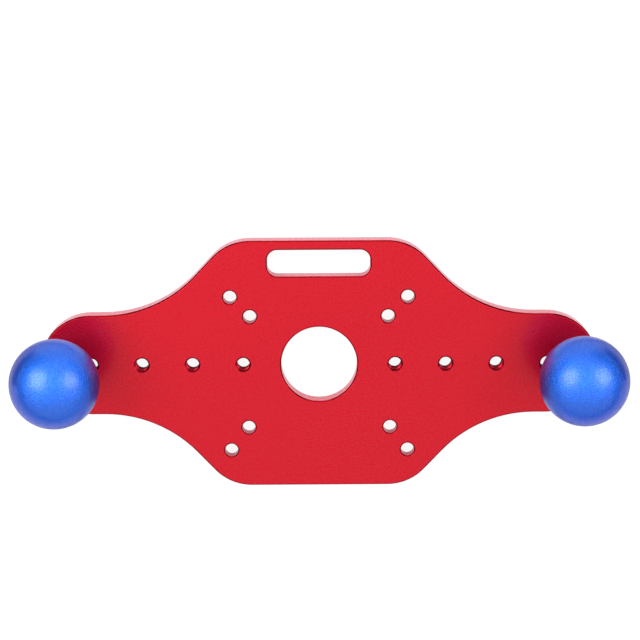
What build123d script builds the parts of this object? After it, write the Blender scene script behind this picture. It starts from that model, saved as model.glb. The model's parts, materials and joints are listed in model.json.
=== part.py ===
from build123d import *
import os
from math import acos, atan2, cos, degrees, hypot, radians, sin, sqrt, tan

# A base plate for a small trim router, with a ball knob at each end.
# The plate lies flat. X runs along it, Y points to the edge with the slot, and Z points up to the knobs.
# The origin is on the axis of the bit opening, in the plane of the sole. All lengths are in millimetres.

# Plate outline, from the middle of a long edge out to the round end. It makes a plate 220 long
plate_width = 99.0
middle_flat = 54.0
shoulder_radius = 20.0
slant_length = 10.21
flank_radius = 50.0
wing_run = 5.0
wing_width = 40.0
plate_thickness = 8.0
edge_break = 0.5

# Bit opening, and the slot with the rim that is left beside it
bit_opening_diameter = 30.0
slot_length = 40.5
slot_width = 10.5
slot_corner_radius = 4.0
slot_rim = 3.75

# Plain holes for a router's own screws, sunk in the sole: four in a rectangle, and two pairs further in
router_hole_diameter = 5.2
router_sink_diameter = 10.0
sink_angle = 90
outer_four_length = 70.0
outer_four_width = 62.0
outer_four_y = -4.0
upper_pair_spacing = 54.5
upper_pair_y = 19.2
lower_pair_spacing = 56.0
lower_pair_y = -25.7

# Tapped holes along each wing, drawn at the size that they are drilled for tapping
tapped_hole_diameter = 5.0
tapped_hole_break = 0.6
tapped_pitch = 20.0
tapped_per_wing = 4

# Knob screw: sunk in the sole, it runs up through the neck into the ball
screw_diameter = 6.0
screw_reach = 12.3
screw_point_break = 0.7
head_diameter = 11.8
head_rim = 0.4
head_recess = 0.3
socket_across_flats = 4.0
socket_depth = 2.6

# Clearances around the screw, each on the radius
head_clearance = 0.1
plate_clearance = 0.2
neck_clearance = 0.3
running_clearance = 0.05

# Neck between the plate and the ball, and the rim of the plate outside its foot
neck_length = 15.0
neck_foot_diameter = 14.0
neck_foot_rim = 1.6
neck_waist_diameter = 10.5
neck_top_rim = 1.0
neck_break = 0.3
foot_margin = 2.0

# Ball, with a flat seat as wide as the top of the neck and a blind hole for the screw
ball_diameter = 34.5
seat_diameter = 12.0
hole_spare = 2.7
hole_break = 0.5
drill_angle = 118

# The slanted edge touches both arcs, so the shoulder and the flank turn through the same angle
edge_drop = (plate_width - wing_width) / 2
both_radii = shoulder_radius + flank_radius
slant = acos((both_radii - edge_drop) / hypot(both_radii, slant_length)) - atan2(slant_length, both_radii)

# Places that follow from the sizes above
shoulder_x = middle_flat / 2
shoulder_y = plate_width / 2 - shoulder_radius
flank_x = shoulder_x + both_radii * sin(slant) + slant_length * cos(slant)
flank_y = wing_width / 2 + flank_radius
end_x = flank_x + wing_run
end_radius = wing_width / 2
slot_y = plate_width / 2 - slot_rim - slot_width / 2
knob_x = end_x + end_radius - foot_margin - neck_foot_diameter / 2
seat_z = plate_thickness + neck_length
ball_radius = ball_diameter / 2
ball_z = seat_z + sqrt(ball_radius**2 - (seat_diameter / 2) ** 2)
screw_top = seat_z + screw_reach
half_sink = radians(sink_angle / 2)
sides = {"left": -1, "right": 1}

os.makedirs("parts", exist_ok=True)


def save(piece, name):
    """Label a finished piece and write it under its own name."""
    piece.part.label = name
    export_step(piece.part, f"parts/{name}.step")


def from_sole(places):
    """Turn places in the plane of the sole into the starts of holes that are drilled upwards."""
    return [Location((x, y, 0), (180, 0, 0)) for x, y in places]


# Base plate
with BuildPart() as base_plate:
    with BuildSketch():
        with BuildLine():
            turn = degrees(slant)
            Line((0, plate_width / 2), (shoulder_x, plate_width / 2))
            shoulder = CenterArc((shoulder_x, shoulder_y), shoulder_radius, 90, -turn)
            flank = CenterArc((flank_x, flank_y), flank_radius, 270, -turn)
            Line(shoulder @ 1, flank @ 1)
            Line(flank @ 0, (end_x, wing_width / 2))
            CenterArc((end_x, 0), end_radius, 0, 90)
            mirror(about=Plane.YZ)
            mirror(about=Plane.XZ)
        make_face()
        Circle(bit_opening_diameter / 2, mode=Mode.SUBTRACT)
        with Locations((0, slot_y)):
            RectangleRounded(slot_length, slot_width, slot_corner_radius, mode=Mode.SUBTRACT)
    extrude(amount=plate_thickness)
    chamfer(base_plate.faces().filter_by(Axis.Z).edges(), edge_break)

    # Plain holes: the sinks face down, and the upper rims are broken like the plate's edges
    outer_four = [
        (x * outer_four_length / 2, outer_four_y + y * outer_four_width / 2)
        for x in sides.values()
        for y in sides.values()
    ]
    upper_pair = [(x * upper_pair_spacing / 2, upper_pair_y) for x in sides.values()]
    lower_pair = [(x * lower_pair_spacing / 2, lower_pair_y) for x in sides.values()]
    with Locations(*from_sole(outer_four + upper_pair + lower_pair)):
        CounterSinkHole(router_hole_diameter / 2, router_sink_diameter / 2, counter_sink_angle=sink_angle)
    upper_rims = base_plate.edges(Select.LAST).filter_by(GeomType.CIRCLE).group_by(Axis.Z)[-1]
    chamfer(upper_rims, edge_break)

    # Tapped holes: the outermost is at the centre of the round end, with the same lead-in above and below
    tapped_row = [
        (x * (end_x - n * tapped_pitch), 0)
        for x in sides.values()
        for n in range(tapped_per_wing)
    ]
    with Locations(*from_sole(tapped_row)):
        Hole(tapped_hole_diameter / 2)
    chamfer(base_plate.edges(Select.LAST).filter_by(GeomType.CIRCLE), tapped_hole_break)

    # Holes for the knob screws: the cone runs parallel to the cone of the screw's head
    sink_radius = head_diameter / 2 + (head_recess + head_rim) * tan(half_sink) + head_clearance
    with Locations(*from_sole([(x * knob_x, 0) for x in sides.values()])):
        CounterSinkHole(screw_diameter / 2 + plate_clearance, sink_radius, counter_sink_angle=sink_angle)
save(base_plate, "base_plate")

for side, sign in sides.items():
    axis_x = sign * knob_x
    knob_axis = Axis((axis_x, 0, 0), (0, 0, 1))

    # Knob screw: a flat head with a cone under it, a plain shank, and a six-sided socket in the head
    with BuildPart() as knob_screw:
        shank_x = axis_x + screw_diameter / 2
        rim_x = axis_x + head_diameter / 2
        rim_z = head_recess + head_rim
        cone_z = rim_z + (rim_x - shank_x) / tan(half_sink)
        with BuildSketch(Plane.XZ):
            with BuildLine():
                Polyline(
                    (axis_x, head_recess),
                    (rim_x, head_recess),
                    (rim_x, rim_z),
                    (shank_x, cone_z),
                    (shank_x, screw_top - screw_point_break),
                    (shank_x - screw_point_break, screw_top),
                    (axis_x, screw_top),
                    close=True,
                )
            make_face()
        revolve(axis=knob_axis)
        with BuildSketch(Plane.XY.offset(head_recess)):
            with Locations((axis_x, 0)):
                RegularPolygon(socket_across_flats / 2, 6, major_radius=False)
        extrude(amount=socket_depth, mode=Mode.SUBTRACT)
    save(knob_screw, f"knob_screw_{side}")

    # Neck: a sleeve with a broad foot and a waist, loose on the screw
    with BuildPart() as knob_neck:
        bore_x = axis_x + screw_diameter / 2 + neck_clearance
        foot_x = axis_x + neck_foot_diameter / 2
        top_x = axis_x + seat_diameter / 2
        waist_low = plate_thickness + neck_foot_rim
        waist_high = seat_z - neck_top_rim
        waist = (axis_x + neck_waist_diameter / 2, (waist_low + waist_high) / 2)
        with BuildSketch(Plane.XZ):
            with BuildLine():
                ThreePointArc((foot_x, waist_low), waist, (top_x, waist_high))
                Polyline(
                    (top_x, waist_high),
                    (top_x, seat_z),
                    (bore_x, seat_z),
                    (bore_x, plate_thickness),
                    (foot_x, plate_thickness),
                    (foot_x, waist_low),
                )
            make_face()
        revolve(axis=knob_axis)
        chamfer(knob_neck.faces().filter_by(Axis.Z).edges(), neck_break)
    save(knob_neck, f"knob_neck_{side}")

    # Ball: cut flat where it sits on the neck, and drilled for the screw
    with BuildPart() as ball_knob:
        hole_radius = screw_diameter / 2 + running_clearance
        hole_depth = screw_reach + hole_spare
        point_height = hole_radius / tan(radians(drill_angle / 2))
        with Locations((axis_x, 0, ball_z)):
            Sphere(ball_radius)
        split(bisect_by=Plane.XY.offset(seat_z))
        with Locations(*from_sole([(axis_x, 0)])):
            Hole(hole_radius, depth=seat_z + hole_depth)
        mouth = ball_knob.faces().sort_by(Axis.Z)[0].edges().sort_by(SortBy.LENGTH)[0]
        chamfer(mouth, hole_break)
        upwards = (Align.CENTER, Align.CENTER, Align.MIN)
        with Locations((axis_x, 0, seat_z + hole_depth)):
            Cone(hole_radius, 0, point_height, align=upwards, mode=Mode.SUBTRACT)
    save(ball_knob, f"ball_knob_{side}")
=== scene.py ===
"""Looks of a winged base plate for a trim router, with a ball knob at each end.

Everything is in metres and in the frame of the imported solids: the plate lies flat, X runs along it,
Y points to the edge with the slot, and Z points up to the knobs.
"""

from __future__ import annotations

import json
import logging
import math
from collections.abc import Callable, Iterable, Sequence
from dataclasses import dataclass, field, replace
from enum import Enum
from itertools import pairwise

import bmesh
import bpy
from mathutils import Matrix, Vector

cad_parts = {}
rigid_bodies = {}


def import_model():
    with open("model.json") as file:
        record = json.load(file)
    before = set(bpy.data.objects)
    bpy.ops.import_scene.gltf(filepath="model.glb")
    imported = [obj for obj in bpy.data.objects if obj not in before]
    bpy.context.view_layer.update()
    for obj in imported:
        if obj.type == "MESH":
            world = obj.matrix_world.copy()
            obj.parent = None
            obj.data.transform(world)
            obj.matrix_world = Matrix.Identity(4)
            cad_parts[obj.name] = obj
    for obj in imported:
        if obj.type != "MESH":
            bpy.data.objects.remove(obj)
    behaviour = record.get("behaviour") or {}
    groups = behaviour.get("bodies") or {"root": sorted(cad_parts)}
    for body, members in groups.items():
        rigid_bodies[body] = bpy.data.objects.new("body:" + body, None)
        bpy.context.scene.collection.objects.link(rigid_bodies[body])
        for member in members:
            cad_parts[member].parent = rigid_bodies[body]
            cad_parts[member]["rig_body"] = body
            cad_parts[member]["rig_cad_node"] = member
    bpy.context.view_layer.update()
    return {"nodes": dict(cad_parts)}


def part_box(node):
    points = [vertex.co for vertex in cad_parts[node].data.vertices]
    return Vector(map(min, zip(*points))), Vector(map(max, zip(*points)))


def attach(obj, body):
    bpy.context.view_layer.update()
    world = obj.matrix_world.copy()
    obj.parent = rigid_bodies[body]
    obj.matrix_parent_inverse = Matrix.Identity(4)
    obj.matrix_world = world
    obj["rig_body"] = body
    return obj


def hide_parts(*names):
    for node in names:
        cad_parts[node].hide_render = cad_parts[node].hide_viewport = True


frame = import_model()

LOG = logging.getLogger("router_base_plate")

MM = 0.001
FULL_TURN = 2 * math.pi
SAME_PLACE = 0.0002 * MM
CREASE_ANGLE = 30
LARGE_FACES_FIRST = 100

Colour = tuple[float, float, float]
Profile = list[tuple[float, float]]


class Slot(Enum):
    """Material slots of the record."""

    RED = "red_anodised"
    BLUE = "blue_anodised"
    STEEL = "screw_steel"


class Side(Enum):
    """The two ends of the plate."""

    LEFT = "left"
    RIGHT = "right"


# Bench work: small steps that every piece is made with


def clear_bench() -> None:
    """Leave edit mode and deselect everything."""
    if bpy.context.mode != "OBJECT":
        bpy.ops.object.mode_set(mode="OBJECT")
    bpy.ops.object.select_all(action="DESELECT")


def take(piece: bpy.types.Object) -> None:
    """Make one object the only selected and active one.

    Args:
        piece: The object to work on.
    """
    clear_bench()
    piece.select_set(True)
    bpy.context.view_layer.objects.active = piece


def fix_place(piece: bpy.types.Object) -> None:
    """Move an object's place into its mesh, so that the object sits at the origin."""
    take(piece)
    bpy.ops.object.transform_apply(location=True, rotation=True, scale=True)


def edit_all(piece: bpy.types.Object) -> None:
    """Enter edit mode on one object with all of its mesh selected.

    Args:
        piece: The object to edit.
    """
    take(piece)
    bpy.ops.object.mode_set(mode="EDIT")
    bpy.ops.mesh.select_mode(type="VERT")
    bpy.ops.mesh.select_all(action="SELECT")


def select_faces(piece: bpy.types.Object, wanted: Callable[[bmesh.types.BMFace], bool]) -> None:
    """Enter edit mode with only some faces selected.

    Args:
        piece: The object whose faces are looked through.
        wanted: Says of each face whether it is to be selected.
    """
    edit_all(piece)
    bpy.ops.mesh.select_mode(type="FACE")
    bpy.ops.mesh.select_all(action="DESELECT")
    mesh = bmesh.from_edit_mesh(piece.data)
    found = [f for f in mesh.faces if wanted(f)]
    for face in found:
        face.select_set(True)
    bmesh.update_edit_mesh(piece.data)


def close_up(piece: bpy.types.Object) -> None:
    """Merge doubled vertices and turn all faces outwards.

    Args:
        piece: The object whose mesh is closed.
    """
    edit_all(piece)
    bpy.ops.mesh.remove_doubles(threshold=SAME_PLACE)
    bpy.ops.mesh.normals_make_consistent(inside=False)
    clear_bench()


def smooth(piece: bpy.types.Object) -> None:
    """Shade a piece smooth, except across its sharp edges, and let its large faces stay flat.

    Args:
        piece: The finished shape.
    """
    take(piece)
    bpy.ops.object.shade_smooth_by_angle(angle=math.radians(CREASE_ANGLE))
    bpy.ops.object.modifier_add(type="WEIGHTED_NORMAL")
    weighing = piece.modifiers[-1]
    weighing.mode = "FACE_AREA"
    weighing.weight = LARGE_FACES_FIRST
    weighing.keep_sharp = True
    bpy.ops.object.modifier_apply(modifier=weighing.name)
    clear_bench()


def combine(body: bpy.types.Object, tool: bpy.types.Object, operation: str) -> None:
    """Apply a boolean of one piece with another, which is used up.

    Args:
        body: The piece that stays.
        tool: The closed piece that it is combined with.
        operation: DIFFERENCE, UNION or INTERSECT.
    """
    take(body)
    bpy.ops.object.modifier_add(type="BOOLEAN")
    step = body.modifiers[-1]
    step.operation = operation
    step.solver = "EXACT"
    step.object = tool
    bpy.ops.object.modifier_apply(modifier=step.name)
    bpy.data.objects.remove(tool, do_unlink=True)


def moved_copy(piece: bpy.types.Object, name: str, offset: Vector) -> bpy.types.Object:
    """Copy a piece with a mesh of its own, moved by an offset.

    Args:
        piece: The piece to copy.
        name: The copy's name.
        offset: How far the copy's mesh is moved.

    Returns:
        The copy, whose object sits at the origin.
    """
    take(piece)
    bpy.ops.object.duplicate(linked=False)
    copy = bpy.context.active_object
    copy.name = name
    bpy.ops.transform.translate(value=offset)
    fix_place(copy)
    return copy


def chain(name: str, points: Sequence[Vector]) -> bpy.types.Object:
    """Extrude a vertex from point to point, and leave the chain of edges selected in edit mode.

    Args:
        name: The piece's name.
        points: The points in order.

    Returns:
        The piece.
    """
    clear_bench()
    bpy.ops.mesh.primitive_plane_add(size=MM, location=points[0])
    piece = bpy.context.active_object
    piece.name = name
    fix_place(piece)
    edit_all(piece)
    bpy.ops.mesh.merge(type="CENTER")
    for start, end in pairwise(points):
        bpy.ops.mesh.extrude_region_move(TRANSFORM_OT_translate={"value": end - start})
    bpy.ops.mesh.select_all(action="SELECT")
    return piece


def turned(name: str, profile: Profile, steps: int) -> bpy.types.Object:
    """Turn a profile about the Z axis, as on a lathe.

    Args:
        name: The piece's name.
        profile: Points of (radius, height). It is closed, or both its ends are on the axis.
        steps: Facets round the axis.

    Returns:
        The closed piece, on the Z axis.
    """
    piece = chain(name, [Vector((radius, 0, height)) for radius, height in profile])
    bpy.ops.mesh.spin(steps=steps, angle=FULL_TURN, center=(0, 0, 0), axis=(0, 0, 1))
    close_up(piece)
    return piece


def arc(centre: tuple[float, float], radius: float, start: float, end: float, steps: int) -> Profile:
    """Points on an arc, in a profile or seen from above.

    Args:
        centre: Its centre, as (radius, height) or (x, y).
        radius: The arc's radius.
        start: The angle of the first point, in degrees from the outward or the X direction.
        end: The angle of the last point.
        steps: Chords from start to end.

    Returns:
        The points, both ends included.
    """
    angles = [math.radians(start + (end - start) * n / steps) for n in range(steps + 1)]
    return [(centre[0] + radius * math.cos(a), centre[1] + radius * math.sin(a)) for a in angles]


def rounded(corners: Profile, radius: float, steps: int = 3) -> Profile:
    """Round the inner corners of an open profile.

    Args:
        corners: The profile's corners. The first and last stay as they are.
        radius: The length that each rounding takes from both of its sides.
        steps: Chords in each rounding.

    Returns:
        The profile with its corners rounded.
    """
    points: Profile = [corners[0]]
    for before, corner, after in zip(corners, corners[1:], corners[2:]):
        middle = Vector(corner)
        start = middle + (Vector(before) - middle).normalized() * radius
        end = middle + (Vector(after) - middle).normalized() * radius
        for n in range(steps + 1):
            t = n / steps
            point = start * (1 - t) ** 2 + middle * 2 * t * (1 - t) + end * t**2
            points.append((point.x, point.y))
    points.append(corners[-1])
    return points


@dataclass(frozen=True)
class Thread:
    """Metric thread with flanks at sixty degrees to each other, as a rod on the Z axis.

    Its helix starts below the rod, by lead_in pitches, and is cut off at both ends.
    """

    major_radius: float
    pitch: float = 1.0 * MM
    crest_share: float = 1 / 8
    root_share: float = 1 / 4
    flank_slope: float = 30
    lead_in: float = 1.37
    steps: int = 36

    @property
    def flank(self) -> float:
        """Length of one flank along the axis."""
        return self.pitch * (1 - self.crest_share - self.root_share) / 2

    @property
    def depth(self) -> float:
        """Height of the thread, from root to crest."""
        return self.flank / math.tan(math.radians(self.flank_slope))

    @property
    def minor_radius(self) -> float:
        """Radius at the root."""
        return self.major_radius - self.depth

    def rod(self, name: str, low: float, high: float) -> bpy.types.Object:
        """Make a threaded rod with flat ends.

        Args:
            name: The rod's name.
            low: Height of its lower end.
            high: Height of its upper end.

        Returns:
            The closed rod.
        """
        clear_bench()
        moves = [
            (0, self.pitch * self.root_share),
            (self.depth, self.flank),
            (0, self.pitch * self.crest_share),
            (-self.depth, self.flank),
        ]
        start = low - self.lead_in * self.pitch
        bpy.ops.mesh.primitive_plane_add(size=MM, location=(self.minor_radius, 0, start))
        rod = bpy.context.active_object
        rod.name = name
        fix_place(rod)
        edit_all(rod)
        bpy.ops.mesh.merge(type="CENTER")
        for outward, up in moves:
            bpy.ops.mesh.extrude_region_move(TRANSFORM_OT_translate={"value": (outward, 0, up)})
        take(rod)
        bpy.ops.object.modifier_add(type="SCREW")
        helix = rod.modifiers[-1]
        helix.screw_offset = self.pitch
        helix.iterations = math.ceil((high - start) / self.pitch) + 1
        helix.steps = helix.render_steps = self.steps
        helix.use_merge_vertices = True
        helix.merge_threshold = SAME_PLACE
        bpy.ops.object.modifier_apply(modifier=helix.name)
        edit_all(rod)
        bpy.ops.mesh.remove_doubles(threshold=SAME_PLACE)
        for height, above in ((low, False), (high, True)):
            bpy.ops.mesh.select_all(action="SELECT")
            bpy.ops.mesh.bisect(
                plane_co=(0, 0, height),
                plane_no=(0, 0, 1),
                use_fill=True,
                clear_inner=not above,
                clear_outer=above,
                threshold=SAME_PLACE,
            )
        close_up(rod)
        return rod


# Finishes


def add_socket(tree: bpy.types.NodeTree, name: str, output: bool) -> None:
    """Give a node group one more named number, as an input or an output."""
    tree.interface.new_socket(
        name=name, in_out="OUTPUT" if output else "INPUT", socket_type="NodeSocketFloat"
    )


@dataclass(frozen=True)
class BlastGrain:
    """Surface left by bead blasting: packed shallow pits, and a faint cloud where the jet passed."""

    name: str = "bead_blast_grain"
    pit_detail: float = 1.0
    tone_detail: float = 2.0
    fineness: float = 0.55
    darkest: float = 0.3
    lightest: float = 0.7

    def group(self) -> bpy.types.NodeTree:
        """Build the node group once, with sizes in metres as its inputs.

        Returns:
            A group that puts out the pits' height, the speckle's tone and the cloud, each from 0 to 1.
        """
        known = bpy.data.node_groups.get(self.name)
        if known:
            return known
        tree = bpy.data.node_groups.new(self.name, "ShaderNodeTree")
        for name in ("Pit Size", "Speckle Size", "Cloud Size"):
            add_socket(tree, name, output=False)
        for name in ("Height", "Speckle", "Cloud"):
            add_socket(tree, name, output=True)
        entry = tree.nodes.new("NodeGroupInput")
        leave = tree.nodes.new("NodeGroupOutput")
        place = tree.nodes.new("ShaderNodeTexCoord")
        for size, result, detail in (
            ("Pit Size", "Height", self.pit_detail),
            ("Speckle Size", "Speckle", self.tone_detail),
            ("Cloud Size", "Cloud", self.tone_detail),
        ):
            invert = tree.nodes.new("ShaderNodeMath")
            invert.operation = "DIVIDE"
            invert.inputs[0].default_value = 1.0
            tree.links.new(entry.outputs[size], invert.inputs[1])
            noise = tree.nodes.new("ShaderNodeTexNoise")
            noise.inputs["Detail"].default_value = detail
            noise.inputs["Roughness"].default_value = self.fineness
            tree.links.new(place.outputs["Object"], noise.inputs["Vector"])
            tree.links.new(invert.outputs[0], noise.inputs["Scale"])
            spread = tree.nodes.new("ShaderNodeMapRange")
            spread.inputs["From Min"].default_value = self.darkest
            spread.inputs["From Max"].default_value = self.lightest
            tree.links.new(noise.outputs["Fac"], spread.inputs["Value"])
            tree.links.new(spread.outputs["Result"], leave.inputs[result])
        return tree


@dataclass(frozen=True)
class BlastedMetal:
    """Bead-blasted metal under a clear skin: dyed oxide on the aluminium, a film of oil on the screws."""

    name: str
    deep: Colour
    bright: Colour
    roughness: float
    roughness_swing: float
    coat: float
    coat_swing: float
    coat_roughness: float
    coat_ior: float
    glancing_tint: Colour = (1.0, 1.0, 1.0)
    pit_size: float = 0.8 * MM
    pit_depth: float = 0.034 * MM
    speckle_size: float = 0.8 * MM
    cloud_size: float = 40 * MM
    cloud_share: float = 0.15

    def swing(
        self, tree: bpy.types.NodeTree, mask: bpy.types.NodeSocket, middle: float, swing: float
    ) -> bpy.types.NodeSocket:
        """Spread a mask to values on both sides of a middle one.

        Args:
            tree: The material's nodes.
            mask: Values from 0 to 1.
            middle: The value for a mask of a half.
            swing: How far the value goes down and up from there.

        Returns:
            The socket with the values.
        """
        spread = tree.nodes.new("ShaderNodeMapRange")
        spread.inputs["To Min"].default_value = middle - swing
        spread.inputs["To Max"].default_value = middle + swing
        tree.links.new(mask, spread.inputs["Value"])
        return spread.outputs["Result"]

    def material(self) -> bpy.types.Material:
        """Build the material.

        Returns:
            The finished material.
        """
        material = bpy.data.materials.new(self.name)
        material.use_nodes = True
        tree = material.node_tree
        nodes = tree.nodes
        links = tree.links
        shader = nodes["Principled BSDF"]
        shader.inputs["Metallic"].default_value = 1.0
        shader.inputs["Coat Roughness"].default_value = self.coat_roughness
        shader.inputs["Coat IOR"].default_value = self.coat_ior
        shader.inputs["Specular Tint"].default_value = (*self.glancing_tint, 1.0)
        grain = nodes.new("ShaderNodeGroup")
        grain.node_tree = BlastGrain().group()
        grain.inputs["Pit Size"].default_value = self.pit_size
        grain.inputs["Speckle Size"].default_value = self.speckle_size
        grain.inputs["Cloud Size"].default_value = self.cloud_size
        speckle = grain.outputs["Speckle"]
        blend = nodes.new("ShaderNodeMix")
        blend.data_type = "FLOAT"
        blend.inputs["Factor"].default_value = self.cloud_share
        links.new(speckle, blend.inputs["A"])
        links.new(grain.outputs["Cloud"], blend.inputs["B"])
        dye = nodes.new("ShaderNodeMix")
        dye.data_type = "RGBA"
        dye.inputs["A"].default_value = (*self.deep, 1.0)
        dye.inputs["B"].default_value = (*self.bright, 1.0)
        links.new(blend.outputs["Result"], dye.inputs["Factor"])
        links.new(dye.outputs["Result"], shader.inputs["Base Color"])
        dulling = self.swing(tree, speckle, self.roughness, -self.roughness_swing)
        links.new(dulling, shader.inputs["Roughness"])
        skin = self.swing(tree, speckle, self.coat, self.coat_swing)
        links.new(skin, shader.inputs["Coat Weight"])
        bump = nodes.new("ShaderNodeBump")
        bump.inputs["Distance"].default_value = self.pit_depth
        links.new(grain.outputs["Height"], bump.inputs["Height"])
        links.new(bump.outputs["Normal"], shader.inputs["Normal"])
        return material


RED = BlastedMetal(
    "red_anodised_aluminium",
    deep=(0.560, 0.0034, 0.015),
    bright=(0.622, 0.0043, 0.019),
    roughness=0.40,
    roughness_swing=0.04,
    coat=0.74,
    coat_swing=0.26,
    coat_roughness=0.17,
    coat_ior=1.36,
    glancing_tint=(1.0, 0.80, 1.0),
)
# Broken edges: a smoother finish, and a darker colour that is painted shade for the dark line along the
# edges.
RED_SMOOTH_EDGE_PAINTED_SHADE = replace(
    RED,
    name="red_anodised_smooth_edge_painted_shade",
    deep=(0.46, 0.0025, 0.011),
    bright=(0.52, 0.0035, 0.014),
    roughness=0.22,
    roughness_swing=0.02,
    coat=0.18,
    coat_swing=0.05,
    coat_roughness=0.15,
    pit_depth=0.003 * MM,
)
# Threads in the tapped holes: a much darker colour and a dulled glancing tint, painted shade inside the
# holes.
RED_THREAD_PAINTED_SHADE = replace(
    RED_SMOOTH_EDGE_PAINTED_SHADE,
    name="red_anodised_thread",
    deep=(0.20, 0.0018, 0.008),
    bright=(0.25, 0.0022, 0.010),
    roughness=0.30,
    coat=0.12,
    coat_swing=0.04,
    glancing_tint=(0.6, 0.2, 0.3),
)
BLUE = BlastedMetal(
    "blue_anodised_aluminium",
    deep=(0.007, 0.080, 0.70),
    bright=(0.012, 0.195, 0.85),
    roughness=0.34,
    roughness_swing=0.05,
    coat=0.84,
    coat_swing=0.16,
    coat_roughness=0.31,
    coat_ior=1.53,
    glancing_tint=(0.10, 0.06, 0.30),
    pit_size=0.42 * MM,
    pit_depth=0.130 * MM,
    speckle_size=0.42 * MM,
)
BLACK_STEEL = BlastedMetal(
    "blackened_steel",
    deep=(0.045, 0.045, 0.050),
    bright=(0.090, 0.090, 0.096),
    roughness=0.34,
    roughness_swing=0.06,
    coat=0.15,
    coat_swing=0.05,
    coat_roughness=0.2,
    coat_ior=1.5,
    pit_size=0.25 * MM,
    pit_depth=0.003 * MM,
)


# Sub-assemblies


@dataclass(frozen=True)
class PlateFinishes:
    """Materials of the plate: its faces and walls, its broken edges (smoother, and darker as painted
    shade), and its threads (darker as painted shade).
    """

    body: bpy.types.Material
    edges: bpy.types.Material
    threads: bpy.types.Material


@dataclass
class WingedPlate:
    """The plate: its node's own shape, with real threads in the tapped holes and softened edges."""

    node: str = "base_plate"
    tapped_end: float = 90 * MM
    tapped_pitch: float = 20 * MM
    tapped_per_wing: int = 4
    tapped_diameter: float = 6 * MM
    tapped_mouth: float = 6.4 * MM
    overrun: float = 1 * MM
    flat_angle: float = 0.2
    edge_round: float = 0.07 * MM
    round_steps: int = 3
    sloped_normal_range: tuple[float, float] = (0.15, 0.97)

    @property
    def tapped_places(self) -> list[float]:
        """Where the tapped holes are along the plate."""
        row = [self.tapped_end - n * self.tapped_pitch for n in range(self.tapped_per_wing)]
        return [sign * x for sign in (-1, 1) for x in row]

    def thread_cutter(self) -> bpy.types.Object:
        """Make a threaded rod for each tapped hole.

        Returns:
            All rods, joined as one object.
        """
        low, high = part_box(self.node)
        thread = Thread(major_radius=self.tapped_diameter / 2)
        first = thread.rod("tap", low.z - self.overrun, high.z + self.overrun)
        rods = [moved_copy(first, "tap", Vector((x, 0, 0))) for x in self.tapped_places]
        bpy.data.objects.remove(first, do_unlink=True)
        take(rods[0])
        for rod in rods:
            rod.select_set(True)
        bpy.ops.object.join()
        return rods[0]

    def is_broken_edge(self, face: bmesh.types.BMFace) -> bool:
        """Say whether a face slopes between the plate's faces and walls."""
        return self.sloped_normal_range[0] < abs(face.normal.z) < self.sloped_normal_range[1]

    def is_thread(self, face: bmesh.types.BMFace) -> bool:
        """Say whether a face lies inside a tapped hole.

        Args:
            face: A face of the plate.

        Returns:
            True for the thread and the slope at its mouth.
        """
        place = face.calc_center_median()
        reach = min(math.hypot(place.x - x, place.y) for x in self.tapped_places)
        return reach < self.tapped_mouth / 2 and abs(face.normal.z) < self.sloped_normal_range[1]

    def dress(self, plate: bpy.types.Object, finishes: PlateFinishes) -> None:
        """Give the plate its finish, a smoother and darker one on its broken edges, and a darker one on its
        threads; the darkening is painted shade.

        Args:
            plate: The finished shape.
            finishes: The materials of its parts.
        """
        plate.data.materials.clear()
        plate.data.materials.append(finishes.body)
        # The broken edges and the threads get darker colours: painted shade.
        painted_shade_parts = ((finishes.edges, self.is_broken_edge), (finishes.threads, self.is_thread))
        for number, (finish, wanted) in enumerate(painted_shade_parts, start=1):
            clear_bench()
            plate.data.materials.append(finish)
            select_faces(plate, wanted)
            plate.active_material_index = number
            bpy.ops.object.material_slot_assign()
        clear_bench()

    def build(self, finishes: PlateFinishes) -> bpy.types.Object:
        """Rework a copy of the node's mesh and let it stand for the node.

        Args:
            finishes: The materials of the plate's parts.

        Returns:
            The finished plate.
        """
        source = frame["nodes"][self.node]
        take(source)
        bpy.ops.object.duplicate(linked=False)
        plate = bpy.context.active_object
        plate.name = "winged_plate"
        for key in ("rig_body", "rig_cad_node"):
            del plate[key]
        plate.parent = None
        take(plate)
        bpy.ops.mesh.customdata_custom_splitnormals_clear()
        close_up(plate)
        edit_all(plate)
        bpy.ops.mesh.dissolve_limited(angle_limit=math.radians(self.flat_angle))
        take(plate)
        bpy.ops.object.modifier_add(type="BEVEL")
        soften = plate.modifiers[-1]
        soften.width = self.edge_round
        soften.segments = self.round_steps
        soften.limit_method = "ANGLE"
        soften.angle_limit = math.radians(CREASE_ANGLE)
        bpy.ops.object.modifier_apply(modifier=soften.name)
        combine(plate, self.thread_cutter(), "DIFFERENCE")
        smooth(plate)
        self.dress(plate, finishes)
        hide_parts(self.node)
        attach(plate, "plate")
        return plate


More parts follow.
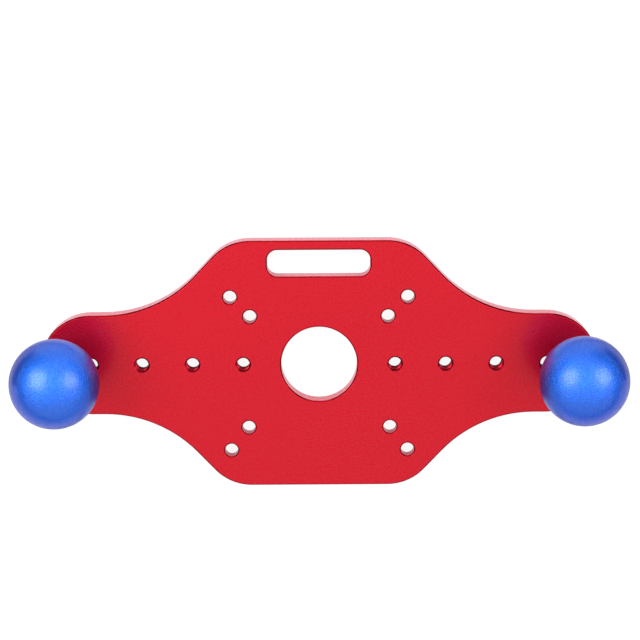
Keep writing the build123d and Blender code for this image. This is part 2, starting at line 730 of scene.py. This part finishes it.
@dataclass
class Knob:
    """A ball on a waisted neck, held by a screw from the sole. Built on the Z axis, then placed."""

    ball_node: str = "ball_knob_{side}"
    neck_node: str = "knob_neck_{side}"
    screw_node: str = "knob_screw_{side}"
    steps: int = 128
    # Ball
    ball_rings: int = 64
    seat_round: float = 0.25 * MM
    seat_round_used: float = 0.98
    hole_diameter: float = 6.1 * MM
    hole_depth: float = 15 * MM
    hole_break: float = 0.5 * MM
    drill_angle: float = 118
    # Neck
    neck_waist_diameter: float = 10.5 * MM
    neck_foot_rim: float = 1.6 * MM
    neck_top_rim: float = 1.0 * MM
    neck_top_diameter: float = 12 * MM
    neck_bore_diameter: float = 6.6 * MM
    neck_break: float = 0.3 * MM
    seat_play: float = 0.005 * MM
    waist_chords: int = 24
    # Screw
    screw_diameter: float = 6 * MM
    thread_length: float = 24 * MM
    core_share: float = 0.97
    trim_margin: float = 0.2
    point_break: float = 0.7 * MM
    head_rim: float = 0.4 * MM
    head_round: float = 0.15 * MM
    socket_across_flats: float = 4 * MM
    socket_sides: int = 6
    socket_depth: float = 2.6 * MM
    socket_break: float = 0.25 * MM
    socket_mouth_steps: int = 48

    def axis_x(self, side: Side) -> float:
        """Where a side's knob stands."""
        low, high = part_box(self.ball_node.format(side=side.value))
        return (low.x + high.x) / 2

    def ball(self) -> bpy.types.Object:
        """Turn the ball, with its flat seat and its blind hole.

        Returns:
            The ball, on the Z axis.
        """
        low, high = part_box(self.ball_node.format(side=Side.RIGHT.value))
        radius = (high.x - low.x) / 2
        centre = high.z - radius
        seat_angle = math.degrees(math.asin((low.z - centre) / radius))
        seat_radius = radius * math.cos(math.radians(seat_angle))
        hole = self.hole_diameter / 2
        bottom = low.z + self.hole_depth
        tip = bottom + hole / math.tan(math.radians(self.drill_angle / 2))
        round_angle = math.degrees(self.seat_round / radius)
        skin = arc((0, centre), radius, 90, seat_angle + round_angle, self.ball_rings)
        seat_corner = [skin[-1], (seat_radius, low.z), (seat_radius - self.seat_round, low.z)]
        rim = rounded(seat_corner, self.seat_round * self.seat_round_used)
        mouth = [(hole + self.hole_break, low.z), (hole, low.z + self.hole_break)]
        drilled = [(hole, bottom), (0, tip)]
        return turned("ball", skin + rim[1:] + mouth + drilled, self.steps)

    def neck(self) -> bpy.types.Object:
        """Turn the neck: a sleeve with a broad foot and a waist.

        Returns:
            The neck, on the Z axis.
        """
        low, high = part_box(self.neck_node.format(side=Side.RIGHT.value))
        seat = high.z - self.seat_play
        foot = (high.x - low.x) / 2
        top = self.neck_top_diameter / 2
        bore = self.neck_bore_diameter / 2
        waist_low = (foot, low.z + self.neck_foot_rim)
        waist_high = (top, high.z - self.neck_top_rim)
        waist = (self.neck_waist_diameter / 2, (waist_low[1] + waist_high[1]) / 2)
        centre, radius = circle_through(waist_low, waist, waist_high)
        start, end = (
            math.degrees(math.atan2(z - centre[1], r - centre[0])) % 360 for r, z in (waist_low, waist_high)
        )
        sides = arc(centre, radius, start, end, self.waist_chords)
        edge = self.neck_break
        foot_edge = rounded([(foot - 2 * edge, low.z), (foot, low.z), waist_low], edge)
        top_edge = rounded([waist_high, (top, seat), (top - 2 * edge, seat)], edge)
        bore_top = [(bore + edge, seat), (bore, seat - edge)]
        bore_foot = [(bore, low.z + edge), (bore + edge, low.z)]
        outline = foot_edge[:-1] + sides + top_edge[1:] + bore_top + bore_foot
        return turned("neck", outline + outline[:1], self.steps)

    def screw(self) -> bpy.types.Object:
        """Make the screw: a flat head with a six-sided socket, a plain stretch and a thread.

        Returns:
            The screw, on the Z axis.
        """
        low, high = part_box(self.screw_node.format(side=Side.RIGHT.value))
        head = (high.x - low.x) / 2
        shank = self.screw_diameter / 2
        rim = low.z + self.head_rim
        thread = Thread(major_radius=shank)
        core = thread.minor_radius * self.core_share
        run_out = high.z - self.thread_length
        overlap = thread.pitch / 2
        corners = [
            (0, low.z),
            (head, low.z),
            (head, rim),
            (shank, rim + head - shank),
            (shank, run_out),
            (core, run_out + shank - core),
            (core, run_out + shank),
            (0, run_out + shank),
        ]
        screw = turned("screw", rounded(corners, self.head_round), self.steps)
        rod = thread.rod("thread", run_out - overlap, high.z)
        point = high.z - self.point_break
        trimmed = [
            (0, run_out),
            (shank * (1 + self.trim_margin), run_out),
            (shank * (1 + self.trim_margin), point - shank * self.trim_margin),
            (shank - self.point_break, high.z),
            (0, high.z),
        ]
        envelope = turned("envelope", trimmed, self.steps)
        combine(rod, envelope, "INTERSECT")
        combine(screw, rod, "UNION")
        combine(screw, self.socket(low.z), "DIFFERENCE")
        return screw

    def socket(self, mouth: float) -> bpy.types.Object:
        """Make the six-sided cutter for the head's socket, widened a little at its mouth.

        Args:
            mouth: Height of the head's face.

        Returns:
            The closed cutter.
        """
        clear_bench()
        half_side = math.radians(180 / self.socket_sides)
        corner = self.socket_across_flats / 2 / math.cos(half_side)
        bpy.ops.mesh.primitive_cylinder_add(
            vertices=self.socket_sides,
            radius=corner,
            depth=2 * self.socket_depth,
            location=(0, 0, mouth),
            rotation=(0, 0, half_side),
        )
        cutter = bpy.context.active_object
        fix_place(cutter)
        reach = corner + self.socket_break
        bpy.ops.mesh.primitive_cone_add(
            vertices=self.socket_mouth_steps,
            radius1=reach,
            radius2=0,
            depth=reach,
            location=(0, 0, mouth + reach / 2),
        )
        cone = bpy.context.active_object
        fix_place(cone)
        combine(cutter, cone, "UNION")
        return cutter

    def build(
        self, ball_finish: bpy.types.Material, screw_finish: bpy.types.Material
    ) -> list[bpy.types.Object]:
        """Make the three pieces once, and place a copy of each at both ends.

        Args:
            ball_finish: The material of the balls and necks.
            screw_finish: The material of the screws.

        Returns:
            The six placed pieces.
        """
        placed: list[bpy.types.Object] = []
        for made, node, body, slot, finish in (
            (self.ball(), self.ball_node, "{side}_ball", Slot.BLUE, ball_finish),
            (self.neck(), self.neck_node, "{side}_neck", Slot.BLUE, ball_finish),
            (self.screw(), self.screw_node, "plate", Slot.STEEL, screw_finish),
        ):
            smooth(made)
            made.data.materials.clear()
            made.data.materials.append(finish)
            for side in Side:
                offset = Vector((self.axis_x(side), 0, 0))
                piece = moved_copy(made, f"{side.value}_{made.name}", offset)
                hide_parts(node.format(side=side.value))
                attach(piece, body.format(side=side.value))
                placed.append(piece)
            bpy.data.objects.remove(made, do_unlink=True)
        return placed


def circle_through(
    first: tuple[float, float], second: tuple[float, float], third: tuple[float, float]
) -> tuple[tuple[float, float], float]:
    """Find the circle through three points of a profile.

    Args:
        first: A point on it.
        second: Another.
        third: A third.

    Returns:
        Its centre and radius.
    """
    (ax, ay), (bx, by), (cx, cy) = first, second, third
    d = 2 * (ax * (by - cy) + bx * (cy - ay) + cx * (ay - by))
    a2, b2, c2 = ax**2 + ay**2, bx**2 + by**2, cx**2 + cy**2
    centre = (
        (a2 * (by - cy) + b2 * (cy - ay) + c2 * (ay - by)) / d,
        (a2 * (cx - bx) + b2 * (ax - cx) + c2 * (bx - ax)) / d,
    )
    return centre, math.hypot(ax - centre[0], ay - centre[1])


# Studio


@dataclass(frozen=True)
class SoftBox:
    """A round lamp that faces a point."""

    name: str
    place: tuple[float, float, float]
    size: float
    brightness: float
    target: tuple[float, float, float] = (0, 0, 0.02)

    def build(self) -> None:
        """Hang the lamp. Its power follows from how bright its face looks beside white paper."""
        data = bpy.data.lights.new(self.name, "AREA")
        data.shape = "DISK"
        data.size = self.size
        data.energy = self.brightness * math.pi * math.pi * (self.size / 2) ** 2
        lamp = bpy.data.objects.new(self.name, data)
        bpy.context.scene.collection.objects.link(lamp)
        lamp.location = self.place
        towards = Vector(self.target) - Vector(self.place)
        lamp.rotation_euler = towards.to_track_quat("-Z", "Y").to_euler()


@dataclass(frozen=True)
class Viewpoint:
    """The camera, fitted to the photograph's outline and holes. Its numbers are for a square picture."""

    sensor_mm: float = 36.0
    lens_mm: float = 121.07
    distance: float = 850 * MM
    right: float = 0.33 * MM
    up: float = 17.46 * MM
    tilt: float = 11.90
    pan: float = 0.22
    roll: float = 0.28

    def build(self, aim_height: float) -> None:
        """Stand the camera.

        Args:
            aim_height: Height of the plate's top face, which its distances are measured from.
        """
        data = bpy.data.cameras.new("camera")
        data.sensor_width = self.sensor_mm
        data.lens = self.lens_mm
        camera = bpy.data.objects.new("camera", data)
        bpy.context.scene.collection.objects.link(camera)
        turn = (
            Matrix.Rotation(math.radians(self.roll), 3, "Z")
            @ Matrix.Rotation(math.radians(self.tilt), 3, "X")
            @ Matrix.Rotation(math.radians(self.pan), 3, "Y")
        )
        back = turn.transposed()
        place = back @ Vector((self.right, self.up, self.distance)) + Vector((0, 0, aim_height))
        camera.matrix_world = Matrix.Translation(place) @ back.to_4x4()
        bpy.context.scene.camera = camera


def round_plate(quarter: Profile) -> Profile:
    """Lead a path round the whole plate, open at the far edge.

    Args:
        quarter: The path from the far edge to the right end, as (x, y).

    Returns:
        The whole path, from the far edge round the right end, the near edge and the left end.
    """
    right = quarter + [(x, -y) for x, y in reversed(quarter[:-1])]
    return right + [(-x, y) for x, y in reversed(right)]


@dataclass(frozen=True)
class Screen:
    """A dark screen that stands along a path and is only seen in reflections."""

    name: str
    path: Profile
    height: float

    def build(self, dark: bpy.types.Material) -> None:
        """Stand the screen.

        Args:
            dark: The screen's material.
        """
        screen = chain(self.name, [Vector((x, y, 0)) for x, y in self.path])
        bpy.ops.mesh.extrude_region_move(TRANSFORM_OT_translate={"value": (0, 0, self.height)})
        clear_bench()
        screen.visible_camera = False
        screen.visible_diffuse = False
        screen.visible_shadow = False
        screen.data.materials.append(dark)


MIDDLE = (0, 0)
LEFT_KNOB = (-0.101, 0)
RIGHT_KNOB = (0.101, 0)
FAR_RADIUS = 0.50
CORNER_RADIUS = 0.49
NEAR_RADIUS = 0.082
FAR_HEIGHT = 0.163
CORNER_HEIGHT = 0.19
FRONT_HEIGHT = 0.095
NEAR_HEIGHT = 0.034
KERB_HEIGHT = 0.0105
KERB = [(0.027, 0.078), (0.058, 0.066), (0.075, 0.052), (0.100, 0.048), (0.125, 0.034), (0.138, 0)]


@dataclass
class Studio:
    """White floor, white surroundings, two soft boxes, and dark screens for the metal to reflect."""

    floor_size: float = 6.0
    floor_drop: float = 0.05 * MM
    floor_glow: float = 0.91
    floor_shade: float = 0.13
    mirrored_glow: float = 0.57
    mirrored_shade: float = 0.39
    unseen_shade: float = 0.85
    world_light: float = 0.9
    screen_colour: Colour = (0.01, 0.01, 0.01)
    screens: Sequence[Screen] = field(
        default_factory=lambda: (
            Screen("far_left_screen", arc(MIDDLE, FAR_RADIUS, 115, 200, 17), FAR_HEIGHT),
            Screen("far_right_screen", arc(MIDDLE, FAR_RADIUS, -20, 65, 17), FAR_HEIGHT),
            Screen("far_left_corner", arc(MIDDLE, CORNER_RADIUS, 130, 168, 8), CORNER_HEIGHT),
            Screen("far_right_corner", arc(MIDDLE, CORNER_RADIUS, 12, 50, 8), CORNER_HEIGHT),
            Screen("front_screen", arc(MIDDLE, FAR_RADIUS, 200, 340, 28), FRONT_HEIGHT),
            Screen("near_left_screen", arc(LEFT_KNOB, NEAR_RADIUS, 125, 185, 12), NEAR_HEIGHT),
            Screen("near_right_screen", arc(RIGHT_KNOB, NEAR_RADIUS, -5, 55, 12), NEAR_HEIGHT),
            Screen("kerb", round_plate(KERB), KERB_HEIGHT),
        )
    )
    lamps: Sequence[SoftBox] = field(
        default_factory=lambda: (
            SoftBox("left_box", (-0.674, 0.36, 0.776), 0.80, 5.8),
            SoftBox("right_box", (0.816, 0.36, 0.796), 0.80, 5.1),
        )
    )

    def seen_mask(self, tree: bpy.types.NodeTree) -> bpy.types.NodeSocket:
        """Add nodes that say whether a ray comes from the camera, a reflection or glass.

        Args:
            tree: The material or world they are added to.

        Returns:
            A socket that is 1 for those rays and 0 for the others.
        """
        rays = tree.nodes.new("ShaderNodeLightPath")
        total = rays.outputs["Is Camera Ray"]
        for name in ("Is Glossy Ray", "Is Transmission Ray"):
            more = tree.nodes.new("ShaderNodeMath")
            more.operation = "MAXIMUM"
            tree.links.new(total, more.inputs[0])
            tree.links.new(rays.outputs[name], more.inputs[1])
            total = more.outputs[0]
        return total

    def world(self) -> None:
        """Make the surroundings: white where they are seen, a little less bright as a source of light."""
        world = bpy.data.worlds.new("studio_air")
        bpy.context.scene.world = world
        world.use_nodes = True
        tree = world.node_tree
        background = tree.nodes["Background"]
        tone = tree.nodes.new("ShaderNodeMix")
        tone.data_type = "RGBA"
        tone.inputs["A"].default_value = (self.world_light, self.world_light, self.world_light, 1)
        tone.inputs["B"].default_value = (1, 1, 1, 1)
        tree.links.new(self.seen_mask(tree), tone.inputs["Factor"])
        tree.links.new(tone.outputs["Result"], background.inputs["Color"])

    def paper(self, tree: bpy.types.NodeTree, glow: float, shade: float) -> bpy.types.NodeSocket:
        """Add a paper that partly glows and partly takes light and shadow.

        Args:
            tree: The material it is added to.
            glow: Brightness of its own.
            shade: Share of the light that it sends back.

        Returns:
            The paper's shader socket.
        """
        matt = tree.nodes.new("ShaderNodeBsdfDiffuse")
        matt.inputs["Color"].default_value = (shade, shade, shade, 1)
        light = tree.nodes.new("ShaderNodeEmission")
        light.inputs["Strength"].default_value = glow
        both = tree.nodes.new("ShaderNodeAddShader")
        tree.links.new(matt.outputs[0], both.inputs[0])
        tree.links.new(light.outputs[0], both.inputs[1])
        return both.outputs[0]

    def either(
        self,
        tree: bpy.types.NodeTree,
        mask: bpy.types.NodeSocket,
        without: bpy.types.NodeSocket,
        within: bpy.types.NodeSocket,
    ) -> bpy.types.NodeSocket:
        """Choose between two shaders by a mask.

        Args:
            tree: The material they are in.
            mask: 0 for the first shader, 1 for the second.
            without: The first shader.
            within: The second shader.

        Returns:
            The chosen shader's socket.
        """
        choice = tree.nodes.new("ShaderNodeMixShader")
        tree.links.new(mask, choice.inputs["Fac"])
        tree.links.new(without, choice.inputs[1])
        tree.links.new(within, choice.inputs[2])
        return choice.outputs[0]

    def floor_material(self) -> bpy.types.Material:
        """Make white paper: faintly shaded where it is seen, more so in reflections, clear from below.

        Returns:
            The finished material.
        """
        material = bpy.data.materials.new("white_paper")
        material.use_nodes = True
        tree = material.node_tree
        tree.nodes.remove(tree.nodes["Principled BSDF"])
        output = tree.nodes["Material Output"]
        plain = self.paper(tree, 0.0, self.unseen_shade)
        seen = self.paper(tree, self.floor_glow, self.floor_shade)
        mirrored = self.paper(tree, self.mirrored_glow, self.mirrored_shade)
        rays = tree.nodes.new("ShaderNodeLightPath")
        front = self.either(tree, self.seen_mask(tree), plain, seen)
        front = self.either(tree, rays.outputs["Is Glossy Ray"], front, mirrored)
        under = tree.nodes.new("ShaderNodeBsdfTransparent")
        side = tree.nodes.new("ShaderNodeNewGeometry")
        whole = self.either(tree, side.outputs["Backfacing"], front, under.outputs[0])
        tree.links.new(whole, output.inputs["Surface"])
        return material

    def floor(self) -> None:
        """Lay the floor under the plate."""
        clear_bench()
        bpy.ops.mesh.primitive_plane_add(size=self.floor_size, location=(0, 0, -self.floor_drop))
        floor = bpy.context.active_object
        floor.name = "studio_floor"
        fix_place(floor)
        floor.data.materials.append(self.floor_material())

    def stand_screens(self) -> None:
        """Stand the dark screens round the object, with a gap towards the far edge."""
        dark = bpy.data.materials.new("dark_card")
        dark.use_nodes = True
        shader = dark.node_tree.nodes["Principled BSDF"]
        shader.inputs["Base Color"].default_value = (*self.screen_colour, 1)
        shader.inputs["Roughness"].default_value = 1.0
        for screen in self.screens:
            screen.build(dark)

    def build(self, aim_height: float) -> None:
        """Set up the whole studio.

        Args:
            aim_height: Height of the plate's top face.
        """
        scene = bpy.context.scene
        scene.view_settings.view_transform = "Standard"
        self.world()
        self.floor()
        self.stand_screens()
        for lamp in self.lamps:
            lamp.build()
        Viewpoint().build(aim_height)


def report(pieces: Iterable[bpy.types.Object]) -> None:
    """Log each finished piece with its number of faces.

    Args:
        pieces: The pieces.
    """
    for piece in pieces:
        LOG.info("%s: %d faces", piece.name, len(piece.data.polygons))


def main() -> None:
    """Build the studio, the plate and the knobs."""
    logging.basicConfig(level=logging.INFO, format="%(name)s %(message)s")
    plate_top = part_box("base_plate")[1].z
    Studio().build(plate_top)
    finishes = PlateFinishes(RED.material(), RED_SMOOTH_EDGE_PAINTED_SHADE.material(), RED_THREAD_PAINTED_SHADE.material())
    report([WingedPlate().build(finishes)])
    report(Knob().build(BLUE.material(), BLACK_STEEL.material()))


if __name__ == "__main__":
    main()
